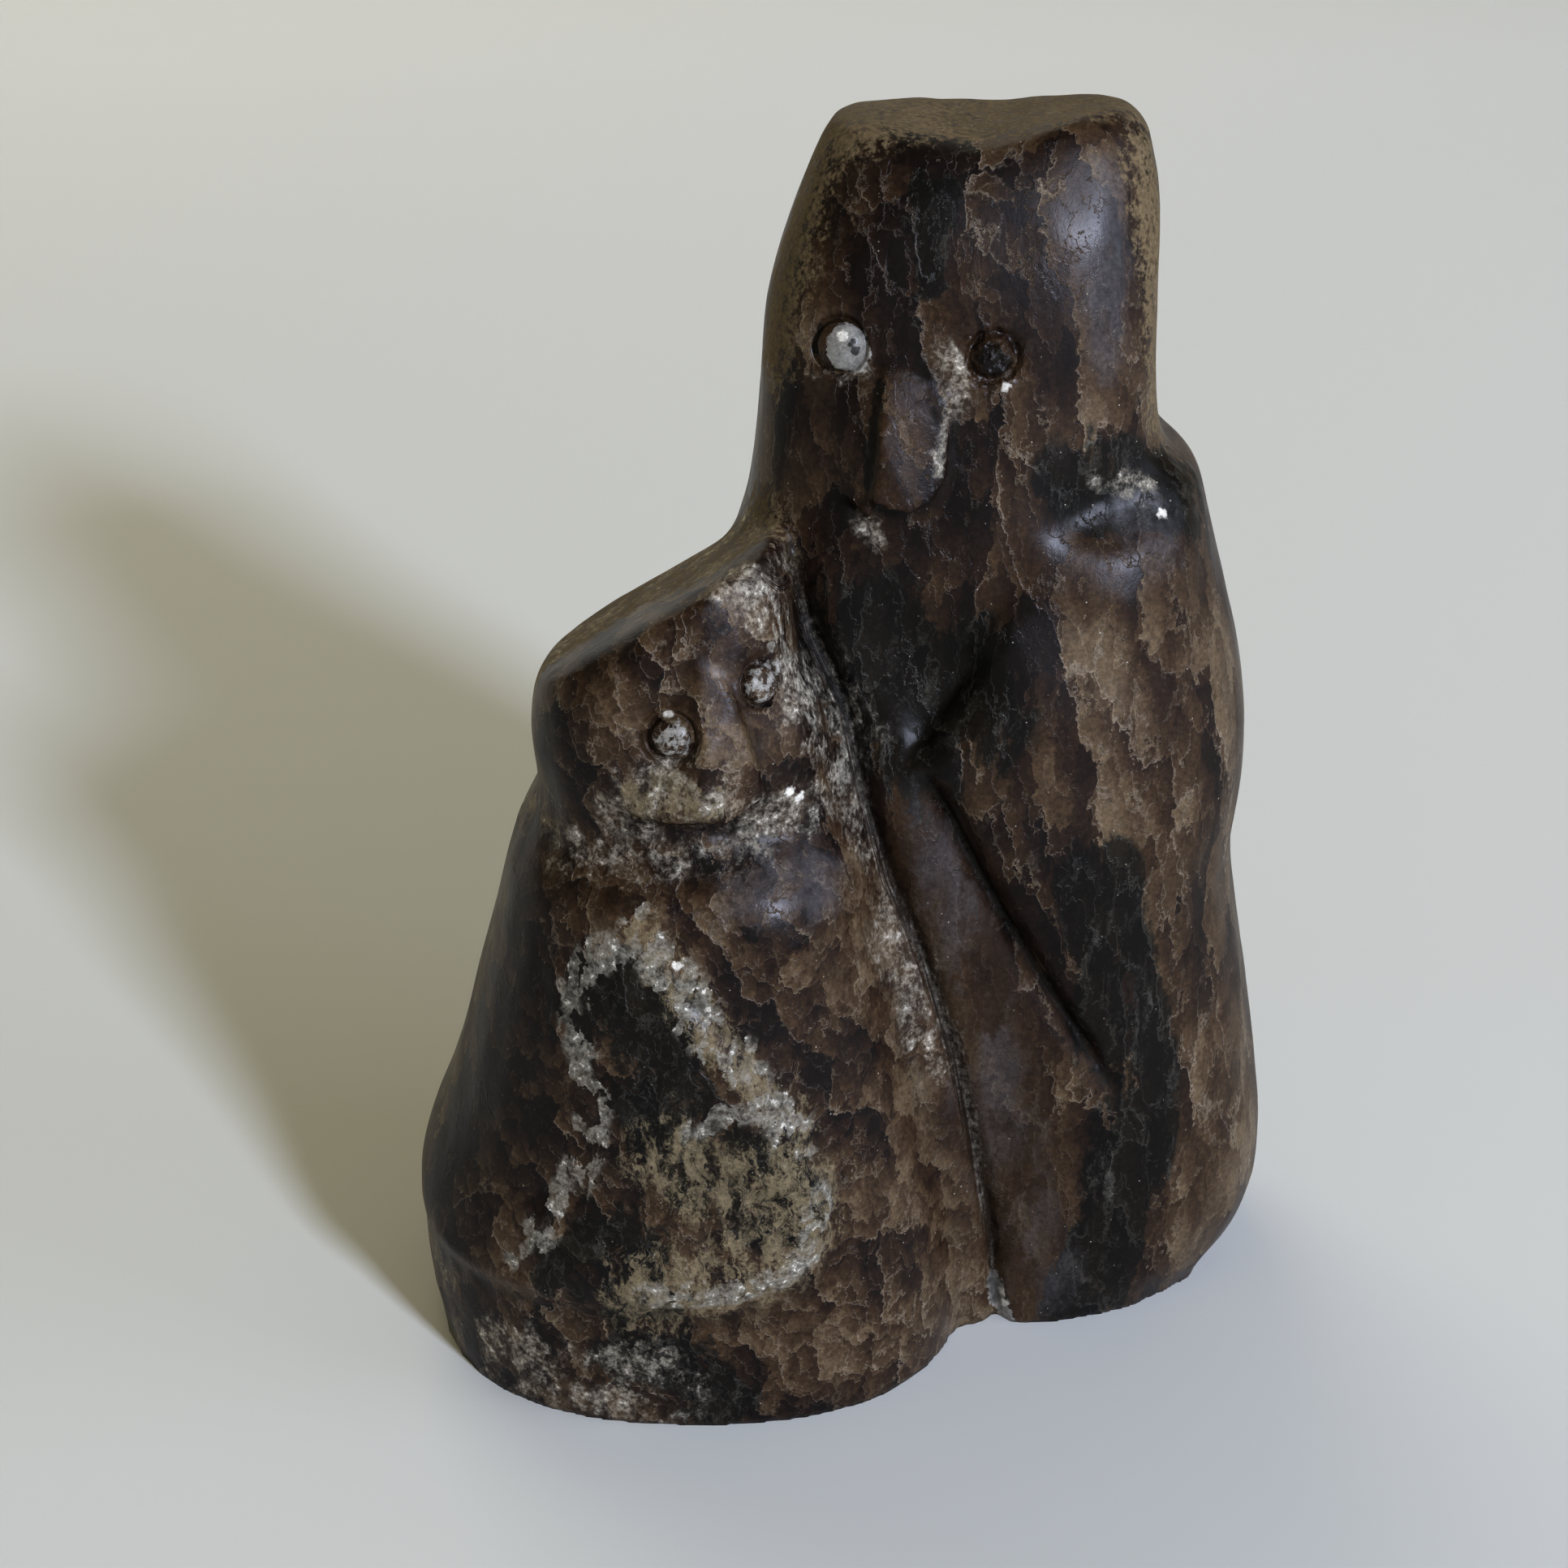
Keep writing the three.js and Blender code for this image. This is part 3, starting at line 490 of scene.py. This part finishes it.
# what the stone is made of
soapstoneLook = {
    "plum": "#140c0b", "chocolate": "#281b14", "umber": "#38291d", "amber": "#4a3a2a", "tan": "#655643",
    "rim": "#908473", "night": "#080807", "nightNet": "#55564f", "rubbed": "#776950", "dust": "#a39c8e",
    "veil": "#88847a", "sheenGrey": "#636163", "whiteSpot": "#d8d4ca", "cream": "#83775f", "pearl": "#93918b",
    "largeCrystalMm": 7.6, "smallCrystalMm": 3.2,
    "driftMm": 24, "patchMm": 15, "blotchMm": 7, "fibreMm": 3.2, "gritMm": 1.6, "mottleMm": 0.8,
    "bendMm": 13, "bendShiftMm": 10,  # slow bends in the crystals' outlines
    "jagMm": 2.2, "jagShiftMm": 3.2,  # small jags in them
    "tornMm": 1.4, "tornShiftMm": 2.4,  # ragged edges of the white spots: chips, and the painted glints on the eyes
    "sparkleMm": 1.1, "whiteSpotMm": 1.0,
    "polishRoughness": 0.34, "dustRoughness": 0.85, "ior": 1.5, "specular": 0.24,
    "bumpMm": 0.3, "bumpStrength": 0.45,
}


def soapstoneMaterial():
    # soapstone (steatite), sawn, rasped and rubbed to a satin polish: dark brown crystals with
    # pale jagged edges under a soft gloss, and pale rock dust left where no cloth reached
    look = soapstoneLook
    material = bpy.data.materials.new("soapstone_satin_polished")
    material.use_nodes = True
    tree = material.node_tree
    shader = tree.nodes["Principled BSDF"]

    where = addNode(tree, "TexCoord", output=3)
    inMm = addNode(tree, "VectorMath", {"operation": "SCALE", "Scale": 1 / mm}, {0: where})
    # the adult's crystals stand tall, and the young bird's are short
    young = addNode(tree, "Attribute", {"attribute_name": "young"}, output=2)
    tallThenShort = {"data_type": "VECTOR", 4: (1.0, 1.0, 0.38), 5: (1.3, 1.3, 1.0)}
    stretch = addNode(tree, "Mix", tallThenShort, {0: young}, 1)
    grain = addNode(tree, "VectorMath", {"operation": "MULTIPLY"}, {0: inMm, 1: stretch})

    def warp(under, pattern, sizeMm, shiftMm):
        # moves a pattern about, so that its edges are torn and not drawn with a pen
        noise = addNode(tree, "TexNoise", {"Scale": 1 / sizeMm, "Detail": 4.0, "Roughness": 0.7},
                        {"Vector": pattern}, 1)
        byHalf = {"operation": "MULTIPLY_ADD", 1: [shiftMm] * 3, 2: [-shiftMm / 2] * 3}
        shift = addNode(tree, "VectorMath", byHalf, {0: noise})
        return addNode(tree, "VectorMath", {"operation": "ADD"}, {0: under, 1: shift})

    bent = warp(grain, grain, look["bendMm"], look["bendShiftMm"])
    jagged = warp(bent, inMm, look["jagMm"], look["jagShiftMm"])
    fine = addNode(tree, "TexNoise", {"Scale": 1 / look["gritMm"], "Detail": 4.0, "Roughness": 0.7},
                   {"Vector": inMm})
    coarse = addNode(tree, "TexNoise", {"Scale": 1 / look["blotchMm"], "Detail": 6.0, "Roughness": 0.66},
                     {"Vector": jagged})
    mottle = addNode(tree, "TexNoise", {"Scale": 1 / look["mottleMm"], "Detail": 4.0, "Roughness": 0.75},
                     {"Vector": inMm})

    def crystals(sizeMm, lean):
        # each crystal darkens away from one side, and that side ends in a thin pale rim
        cells = addNode(tree, "TexVoronoi", {"Scale": 1 / sizeMm}, {"Vector": jagged}, 0).node
        border = addNode(tree, "TexVoronoi", {"feature": "DISTANCE_TO_EDGE", "Scale": 1 / sizeMm},
                         {"Vector": jagged})
        fromMiddle = addNode(tree, "VectorMath", {"operation": "SUBTRACT"},
                             {0: jagged, 1: cells.outputs["Position"]})
        side = addNode(tree, "VectorMath", {"operation": "DOT_PRODUCT", 1: [v / sizeMm for v in lean]},
                       {0: fromMiddle}, 1)
        chance = addNode(tree, "SeparateColor", {}, {0: cells.outputs["Color"]})
        slope = addNode(tree, "MapRange", {1: -0.5, 2: 0.6}, {0: side})
        atBorder = addNode(tree, "MapRange", {1: 0.0, 2: 0.05, 3: 1.0, 4: 0.0}, {0: border})
        onSide = addNode(tree, "MapRange", {"interpolation_type": "SMOOTHSTEP", 1: 0.05, 2: 0.45}, {0: side})
        rim = addNode(tree, "Math", {"operation": "MULTIPLY"}, {0: atBorder, 1: onSide})
        return chance, slope, rim

    largeChance, largeSlope, largeRim = crystals(look["largeCrystalMm"], (-0.8, -0.4, -0.65))
    smallChance, smallSlope, smallRim = crystals(look["smallCrystalMm"], (-0.5, 0.2, -0.8))

    # how light each place is, from many small parts, and the brown that goes with it
    drift = addNode(tree, "TexNoise", {"Scale": 1 / look["driftMm"], "Detail": 3.0, "Roughness": 0.55},
                    {"Vector": grain})
    light = addNode(tree, "Attribute", {"attribute_name": "amber"}, output=2)
    # the adult's face is darker, and the young bird's left flank has painted shade
    deep = addNode(tree, "Attribute", {"attribute_name": "deep"}, output=2)
    level = addNode(tree, "MapRange", {1: 0.3, 2: 0.7, 3: -0.28, 4: 0.12}, {0: drift})
    for share, part in ((0.28, largeChance), (0.3, largeSlope), (0.18, smallChance), (0.18, smallSlope),
                        (0.2, coarse), (0.16, mottle), (0.2, light), (-0.16, deep)):
        level = addNode(tree, "Math", {"operation": "MULTIPLY_ADD", 1: share}, {0: part, 2: level})
    calm = addNode(tree, "Attribute", {"attribute_name": "calm"}, output=2)
    level = addNode(tree, "Mix", {3: 0.57}, {0: calm, 2: level})
    tone = addNode(tree, "ValToRGB", {"stops": [
        (0.27, look["plum"]), (0.44, look["chocolate"]), (0.58, look["umber"]), (0.74, look["amber"]),
        (0.95, look["tan"])]}, {0: level})

    # pale rims come in patches, and show less on dark crystals and on the polished belly
    patch = addNode(tree, "TexNoise", {"Scale": 1 / look["patchMm"], "Detail": 2.0}, {"Vector": inMm})
    patchy = addNode(tree, "MapRange", {1: 0.4, 2: 0.6, 3: 0.12, 4: 0.8}, {0: patch})
    rims = addNode(tree, "Math", {"operation": "MAXIMUM"}, {0: largeRim, 1: smallRim})
    onPale = addNode(tree, "MapRange", {1: 0.4, 2: 0.75, 3: 0.25, 4: 0.9}, {0: level})
    rimShare = addNode(tree, "Math", {"operation": "MULTIPLY", "use_clamp": True}, {0: rims, 1: patchy})
    rimShare = addNode(tree, "Math", {"operation": "MULTIPLY"}, {0: rimShare, 1: onPale})
    offCalm = addNode(tree, "MapRange", {2: 0.55, 3: 1.0, 4: 0.3}, {0: calm})
    rimShare = addNode(tree, "Math", {"operation": "MULTIPLY"}, {0: rimShare, 1: offCalm})

    def region(name, breakUp, solid, low, high, most, grains=None):
        # a marked place that frays out into ragged patches, and into grit where it is dust
        share = addNode(tree, "Attribute", {"attribute_name": name}, output=2)
        frayed = addNode(tree, "MapRange", {1: 0.38, 2: 0.62, 3: -0.6, 4: 0.6}, {0: breakUp})
        worn = addNode(tree, "Math", {"operation": "MULTIPLY_ADD", 1: solid}, {0: share, 2: frayed})
        within = addNode(tree, "MapRange", {"interpolation_type": "SMOOTHSTEP", 1: low, 2: high, 4: most},
                         {0: worn})
        some = addNode(tree, "MapRange", {1: 0.0, 2: 0.15}, {0: share})
        shown = addNode(tree, "Math", {"operation": "MULTIPLY"}, {0: within, 1: some})
        if not grains:
            return shown
        return addNode(tree, "Math", {"operation": "MULTIPLY"}, {0: shown, 1: grains})

    # near-black places keep a faint net of crystal edges and faint clouds
    streaks = addNode(tree, "VectorMath", {"operation": "MULTIPLY", 1: (1.3, 1.3, 0.5)}, {0: jagged})
    fibres = addNode(tree, "TexNoise", {"Scale": 1 / look["fibreMm"], "Detail": 6.0, "Roughness": 0.8},
                     {"Vector": streaks})
    night = region("night", coarse, 0.85, 0.15, 0.6, 0.88)
    nightRims = addNode(tree, "Math", {"operation": "MULTIPLY"}, {0: rims, 1: night})
    nightLines = addNode(tree, "MapRange", {1: 0.1, 2: 0.9, 4: 0.3}, {0: nightRims})
    cloud = addNode(tree, "MapRange", {1: 0.54, 2: 0.7, 4: 0.28}, {0: fibres})
    nightCloud = addNode(tree, "Math", {"operation": "MULTIPLY"}, {0: night, 1: cloud})

    # the vein breaks up into crystals and crumbs, and the rock dust into grit
    grit = addNode(tree, "MapRange", {1: 0.42, 2: 0.56, 3: 0.1, 4: 1.0}, {0: fine})
    crumbs = addNode(tree, "MapRange", {1: 0.38, 2: 0.54, 3: 0.3, 4: 1.0}, {0: fine})
    halfCoarse = addNode(tree, "Math", {"operation": "MULTIPLY", 1: 0.5}, {0: coarse})
    shards = addNode(tree, "Math", {"operation": "MULTIPLY_ADD", 1: 0.5}, {0: smallChance, 2: halfCoarse})
    rubbed = region("rubbed", fine, 1.0, 0.1, 1.05, 0.74)
    vein = region("vein", shards, 0.9, 0.3, 0.95, 0.78, crumbs)
    dust = region("dust", coarse, 0.6, 0.1, 1.0, 0.62, grit)
    powder = addNode(tree, "Math", {"operation": "MAXIMUM"}, {0: vein, 1: dust})
    specks = addNode(tree, "MapRange", {1: 0.6, 2: 0.66, 4: 0.8}, {0: fine})
    brightSpecks = addNode(tree, "Math", {"operation": "MULTIPLY"}, {0: powder, 1: specks})

    layers = [
        (rimShare, "rim"), (night, "night"), (nightLines, "nightNet"), (nightCloud, "veil"),
        # painted sheen, and a faint grey over the belly
        (region("milky", coarse, 1.1, 0.0, 1.6, 0.4), "sheenGrey"), (rubbed, "rubbed"),
        (region("cream", fibres, 0.6, 0.2, 0.85, 0.75), "cream"), (vein, "veil"), (dust, "dust"),
        # the pearl grey is partly painted sheen on the young bird's eyes
        (brightSpecks, "whiteSpot"), (region("pearl", fine, 1.6, 0.4, 0.9, 0.8), "pearl"),
        # painted shade in the beak's slit and eye crescent, and dark pits
        (region("pit", fine, 1.4, 0.4, 0.9, 0.85), "night"),
    ]
    torn = warp(inMm, inMm, look["tornMm"], look["tornShiftMm"])
    # white spots: chips of the stone, and painted highlights where the lamp glints on the eye domes
    for whiteSpot in marked["whiteChipsAndEyeGlints"]:
        away = addNode(tree, "VectorMath", {"operation": "DISTANCE", 1: whiteSpot}, {0: torn}, 1)
        inWhiteSpot = addNode(tree, "MapRange", {1: look["whiteSpotMm"], 2: 0.6 * look["whiteSpotMm"], 4: 0.9}, {0: away})
        layers.append((inWhiteSpot, "whiteSpot"))
    colour = tone
    for share, shown in layers:
        colour = addNode(tree, "Mix", {"data_type": "RGBA", 7: srgb(look[shown])}, {0: share, 6: colour}, 2)

    # fine mottle and painted shade in the hollows over all of it, and then a few clustered glints
    shade = addNode(tree, "MapRange", {1: 0.3, 2: 0.7, 3: 0.58, 4: 1.4}, {0: mottle})
    hollow = addNode(tree, "Attribute", {"attribute_name": "hollow"}, output=2)
    inCreaseShade = addNode(tree, "MapRange", {3: 1.0, 4: 0.35}, {0: hollow})
    shade = addNode(tree, "Math", {"operation": "MULTIPLY"}, {0: shade, 1: inCreaseShade})
    colour = addNode(tree, "VectorMath", {"operation": "MULTIPLY"}, {0: colour, 1: shade})
    glints = addNode(tree, "TexVoronoi", {"Scale": 1 / look["sparkleMm"]}, {"Vector": inMm}, 0).node
    glintChance = addNode(tree, "SeparateColor", {}, {0: glints.outputs["Color"]})
    isGlint = addNode(tree, "Math", {"operation": "GREATER_THAN", 1: 0.88}, {0: glintChance})
    inGlint = addNode(tree, "Math", {"operation": "LESS_THAN", 1: 0.12}, {0: glints.outputs["Distance"]})
    glint = addNode(tree, "Math", {"operation": "MULTIPLY"}, {0: isGlint, 1: inGlint})
    clustered = addNode(tree, "MapRange", {1: 0.45, 2: 0.6}, {0: coarse})
    glint = addNode(tree, "Math", {"operation": "MULTIPLY"}, {0: glint, 1: clustered})
    colour = addNode(tree, "Mix", {"data_type": "RGBA", 7: srgb(look["dust"])}, {0: glint, 6: colour}, 2)
    tree.links.new(colour, shader.inputs["Base Color"])

    matte = addNode(tree, "Math", {"operation": "MAXIMUM"}, {0: dust, 1: rubbed})
    polish = look["polishRoughness"]
    gloss = addNode(tree, "MapRange", {1: 0.3, 2: 0.7, 3: polish - 0.06, 4: polish + 0.1}, {0: patch})
    roughness = addNode(tree, "Mix", {3: look["dustRoughness"]}, {0: matte, 2: gloss})
    tree.links.new(roughness, shader.inputs["Roughness"])

    height = addNode(tree, "Math", {"operation": "MULTIPLY_ADD", 1: 0.8}, {0: rims, 2: coarse})
    bump = addNode(tree, "Bump", {"Strength": look["bumpStrength"], "Distance": look["bumpMm"] * mm},
                   {"Height": height})
    tree.links.new(bump, shader.inputs["Normal"])
    shader.inputs["IOR"].default_value = look["ior"]
    shader.inputs["Specular IOR Level"].default_value = look["specular"]
    return material


stone.data.materials.clear()
stone.data.materials.append(soapstoneMaterial())
pickOnly(stone)
bpy.ops.object.shade_smooth()
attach(stone, "root")
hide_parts("soapstone_birds")
print("stone finished")


# floor, light and camera, in metres, watts and degrees
studio = {
    "paper": "#d5d7d5", "paperLitFar": "#e3e7ed", "paperSize": 6, "paperRise": 3,
    "farFrom": 0.1, "farTo": 0.9,  # the paper turns from its near colour to a brighter, bluer far one: painted light on the far paper
    "wall": "#f3f4ee", "wallFill": 0.5, "ceiling": "#fff1c0", "skyFill": 0.225, "wallTop": 0.2,
    "camera": (-0.0106, -0.4205, 0.3076), "lookDown": 27, "view": 30, "sensorMm": 36,
    "exposure": 0.27, "gamma": 0.8,  # below 1, for the photograph's deep shadows
}
lamps = {
    "soft_lamp": {"place": (1.2, -1.82, 1.16), "aim": (0, 0, 0.1), "size": 0.3, "watts": 63,
                  "colour": "#dee6fc"},
    "side_window": {"place": (1.5, -0.35, 0.65), "aim": (0, 0, 0.1), "size": 0.9, "watts": 6,
                    "colour": "#d6e3ff"},
    "paper_lamp": {"place": (-0.9, 1.7, 1.9), "aim": (-0.8, 1.3, 0), "size": 1.6, "watts": 18,
                   "colour": "#fff5dc"},
}


def buildFloor():
    # a roll of matt paper that turns up far behind the stone, painted lighter and bluer further back
    bpy.ops.object.select_all(action="DESELECT")
    bpy.ops.mesh.primitive_plane_add(size=studio["paperSize"], location=(0, 0, 0))
    floor = bpy.context.object
    floor.name = "paper_sweep"
    bpy.ops.object.mode_set(mode="EDIT")
    bpy.ops.mesh.select_all(action="DESELECT")
    bpy.ops.mesh.select_mode(type="EDGE")
    sweep = bmesh.from_edit_mesh(floor.data)
    for edge in sweep.edges:
        edge.select = all(v.co.y > 0 for v in edge.verts)
    bmesh.update_edit_mesh(floor.data)
    bpy.ops.mesh.extrude_edges_move(TRANSFORM_OT_translate={"value": (0, 0, studio["paperRise"])})
    bpy.ops.object.mode_set(mode="OBJECT")
    paper = bpy.data.materials.new("matt_background_paper")
    paper.use_nodes = True
    tree = paper.node_tree
    where = addNode(tree, "TexCoord", output=3)
    apart = addNode(tree, "SeparateXYZ", {}, {0: where}, 1)
    far = addNode(tree, "MapRange", {1: studio["farFrom"], 2: studio["farTo"]}, {0: apart})
    nearThenFar = {"data_type": "RGBA", 6: srgb(studio["paper"]), 7: srgb(studio["paperLitFar"])}
    colour = addNode(tree, "Mix", nearThenFar, {0: far}, 2)
    shader = tree.nodes["Principled BSDF"]
    tree.links.new(colour, shader.inputs["Base Color"])
    shader.inputs["Roughness"].default_value = 0.9
    floor.data.materials.append(paper)


def hangLamp(name, place, aim, size, watts, colour):
    bpy.ops.object.light_add(type="AREA", location=place)
    lamp = bpy.context.object
    lamp.name = name
    lamp.data.size = size
    lamp.data.energy = watts
    lamp.data.color = srgb(colour)[:3]
    lamp.rotation_euler = (Vector(aim) - Vector(place)).to_track_quat("-Z", "Y").to_euler()


def buildRoom():
    # pale walls low down and a dimmer, warmer ceiling, which fill the shadows softly
    world = bpy.data.worlds.new("room")
    bpy.context.scene.world = world
    world.use_nodes = True
    tree = world.node_tree
    direction = addNode(tree, "TexCoord", output=0)
    upward = addNode(tree, "SeparateXYZ", {}, {0: direction}, 2)
    above = addNode(tree, "MapRange", {1: 0.0, 2: studio["wallTop"]}, {0: upward})
    wallThenCeiling = {"data_type": "RGBA", 6: srgb(studio["wall"]), 7: srgb(studio["ceiling"])}
    colour = addNode(tree, "Mix", wallThenCeiling, {0: above}, 2)
    glow = addNode(tree, "Mix", {2: studio["wallFill"], 3: studio["skyFill"]}, {0: above})
    background = tree.nodes["Background"]
    tree.links.new(colour, background.inputs["Color"])
    tree.links.new(glow, background.inputs["Strength"])
    bpy.context.scene.view_settings.view_transform = "Standard"
    bpy.context.scene.view_settings.exposure = studio["exposure"]
    bpy.context.scene.view_settings.gamma = studio["gamma"]


def buildCamera():
    bpy.ops.object.camera_add(location=studio["camera"],
                              rotation=(math.radians(90 - studio["lookDown"]), 0, 0))
    camera = bpy.context.object
    camera.data.sensor_width = studio["sensorMm"]
    camera.data.lens = studio["sensorMm"] / 2 / math.tan(math.radians(studio["view"] / 2))
    camera.data.clip_start = 0.01
    bpy.context.scene.camera = camera


buildFloor()
for name, lamp in lamps.items():
    hangLamp(name, **lamp)
buildRoom()
buildCamera()
print("studio set")
